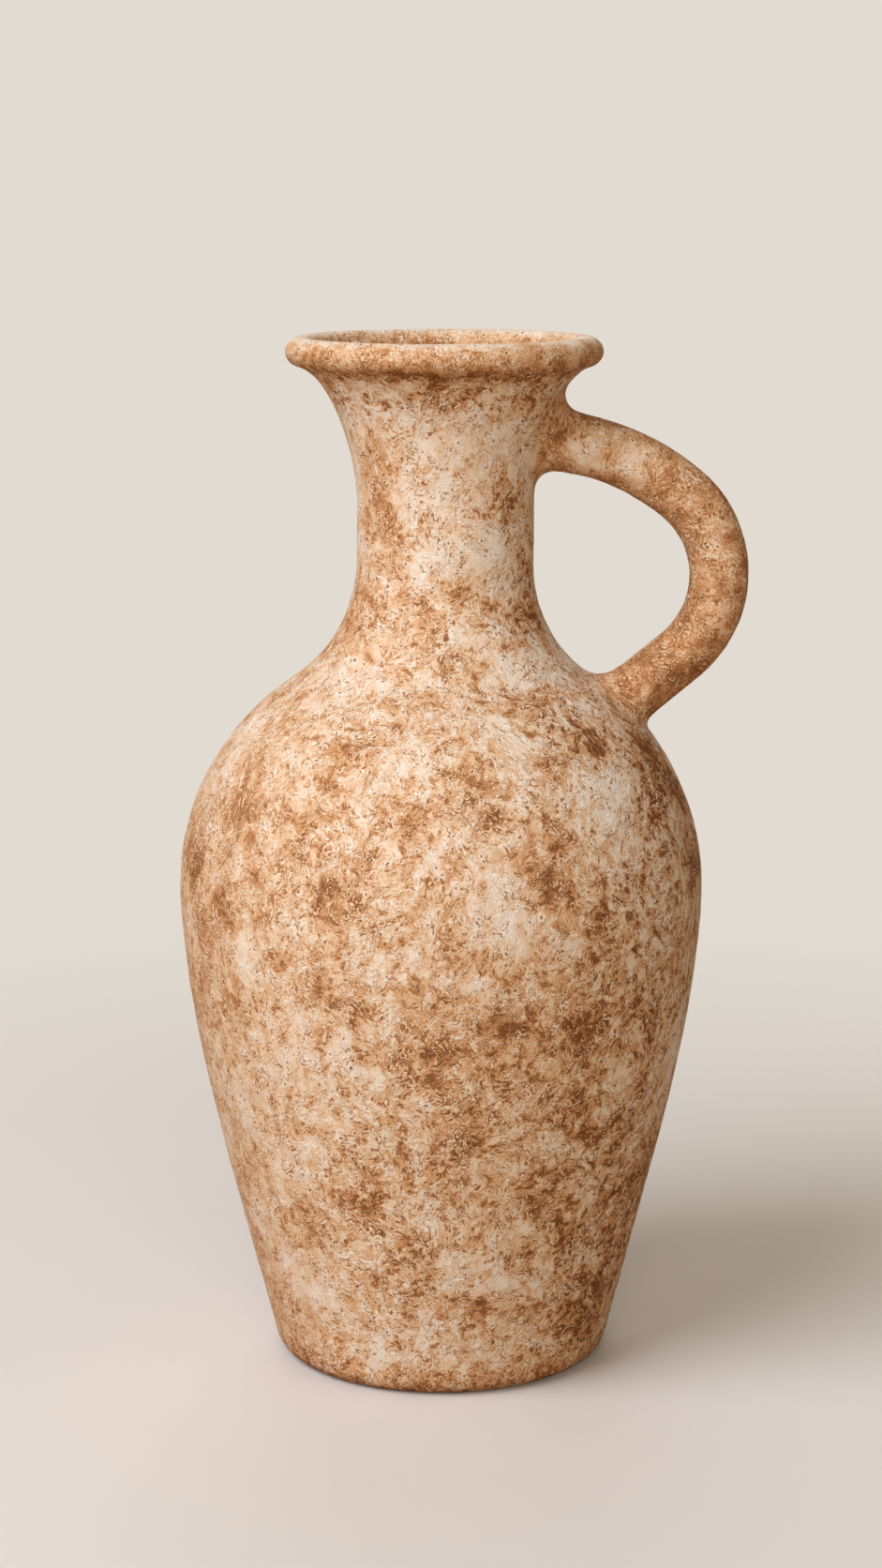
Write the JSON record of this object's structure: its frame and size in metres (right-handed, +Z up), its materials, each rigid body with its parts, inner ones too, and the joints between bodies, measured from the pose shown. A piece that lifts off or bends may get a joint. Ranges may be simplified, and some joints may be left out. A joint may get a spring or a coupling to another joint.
{
  "type": "ceramic jug",
  "caption": "Tall ceramic pouring jug with a tapered round body, a narrow neck, a flared mouth with a rolled lip, and a rod handle looped from neck to shoulder.",
  "frame": {"origin": "middle of the foot, on the ground", "axes": "+Z up along the axis of the jug, +X from the axis to the handle"},
  "size_m": [0.1979, 0.183, 0.36],
  "materials": {
    "mottled_ceramic": "matte fired clay with a rough wash, mottled tan, cream and brown, with fine wandering ridges and small pits"
  },
  "bodies": {
    "root": {"base": "mottled_ceramic", "lower_body": "mottled_ceramic", "upper_body": "mottled_ceramic", "neck": "mottled_ceramic", "rim": "mottled_ceramic", "handle": "mottled_ceramic", "upper_root": "mottled_ceramic", "lower_root": "mottled_ceramic"}
  },
  "joints": []
}
